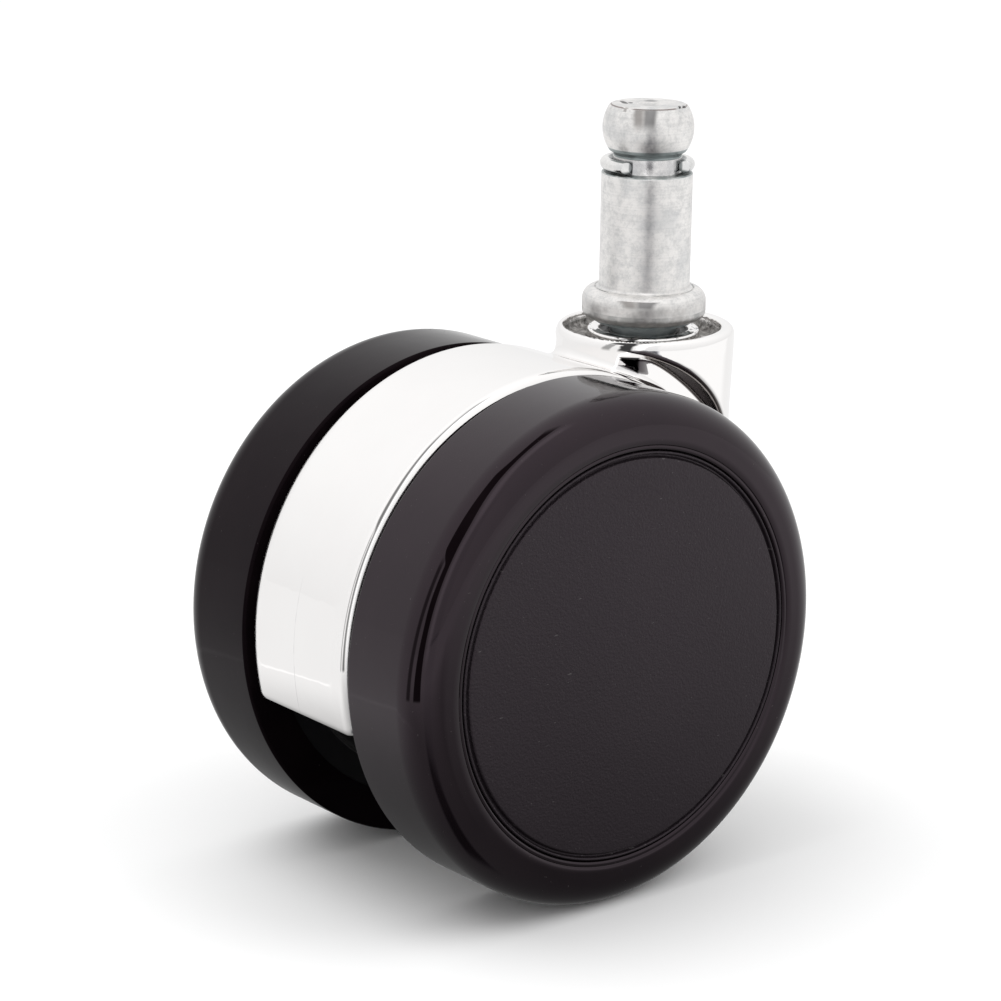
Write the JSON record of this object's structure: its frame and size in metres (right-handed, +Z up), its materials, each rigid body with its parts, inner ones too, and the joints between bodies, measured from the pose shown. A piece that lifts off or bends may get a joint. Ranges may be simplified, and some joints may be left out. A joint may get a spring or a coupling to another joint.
{
  "type": "chair caster",
  "caption": "Hooded chair caster: black wheels either side of a chromed hood that swivels and trails behind a steel stem with a grip ring, which plugs into a chair leg.",
  "frame": {"origin": "on the swivel axis, at the stem's seat (top of the collar, where the chair leg's socket lands)", "axes": "+Z up along the stem, +X forwards (the wheels trail towards -X), Y along the wheel axle, left wheel at +Y"},
  "size_m": [0.0635, 0.0464, 0.0898],
  "materials": {
    "zinc_steel": "zinc-plated turned steel, satin",
    "spring_steel": "zinc-plated spring wire",
    "bush_acetal": "moulded acetal, greased",
    "bright_steel": "bright drawn steel",
    "chrome_plate": "bright chrome plate over a die casting",
    "washer_nylon": "natural nylon",
    "core_nylon": "moulded black nylon",
    "bush_bronze": "sintered bronze",
    "tyre_pu": "glossy black polyurethane",
    "cap_plastic": "fine-grained matte black plastic"
  },
  "bodies": {
    "stem": {"stem": "zinc_steel", "stem_snap_ring": "spring_steel"},
    "grip_ring": {"grip_ring": "spring_steel"},
    "housing": {"swivel_bush": "bush_acetal", "thrust_disc": "bright_steel", "body_casting": "chrome_plate", "axle": "bright_steel", "right_axle_clip": "spring_steel", "left_axle_clip": "spring_steel", "right_spacer_washer": "washer_nylon", "left_spacer_washer": "washer_nylon", "right_outer_washer": "bright_steel", "left_outer_washer": "bright_steel"},
    "right_wheel": {"right_wheel_core": "core_nylon", "right_wheel_bush": "bush_bronze", "right_tyre": "tyre_pu", "right_hub_cap": "cap_plastic"},
    "left_wheel": {"left_wheel_core": "core_nylon", "left_wheel_bush": "bush_bronze", "left_tyre": "tyre_pu", "left_hub_cap": "cap_plastic"}
  },
  "joints": [
    {"name": "swivel", "type": "hinge", "parent": "stem", "child": "housing", "pos_m": [0, 0, 0], "axis": [0, 0, 1], "continuous": true},
    {"name": "grip_ring_turn", "type": "hinge", "parent": "stem", "child": "grip_ring", "pos_m": [0, 0, 0.01505], "axis": [0, 0, 1], "continuous": true},
    {"name": "right_wheel_spin", "type": "hinge", "parent": "housing", "child": "right_wheel", "pos_m": [-0.0217, -0.0166, -0.0369], "axis": [0, 1, 0], "continuous": true},
    {"name": "left_wheel_spin", "type": "hinge", "parent": "housing", "child": "left_wheel", "pos_m": [-0.0217, 0.0166, -0.0369], "axis": [0, 1, 0], "continuous": true}
  ]
}
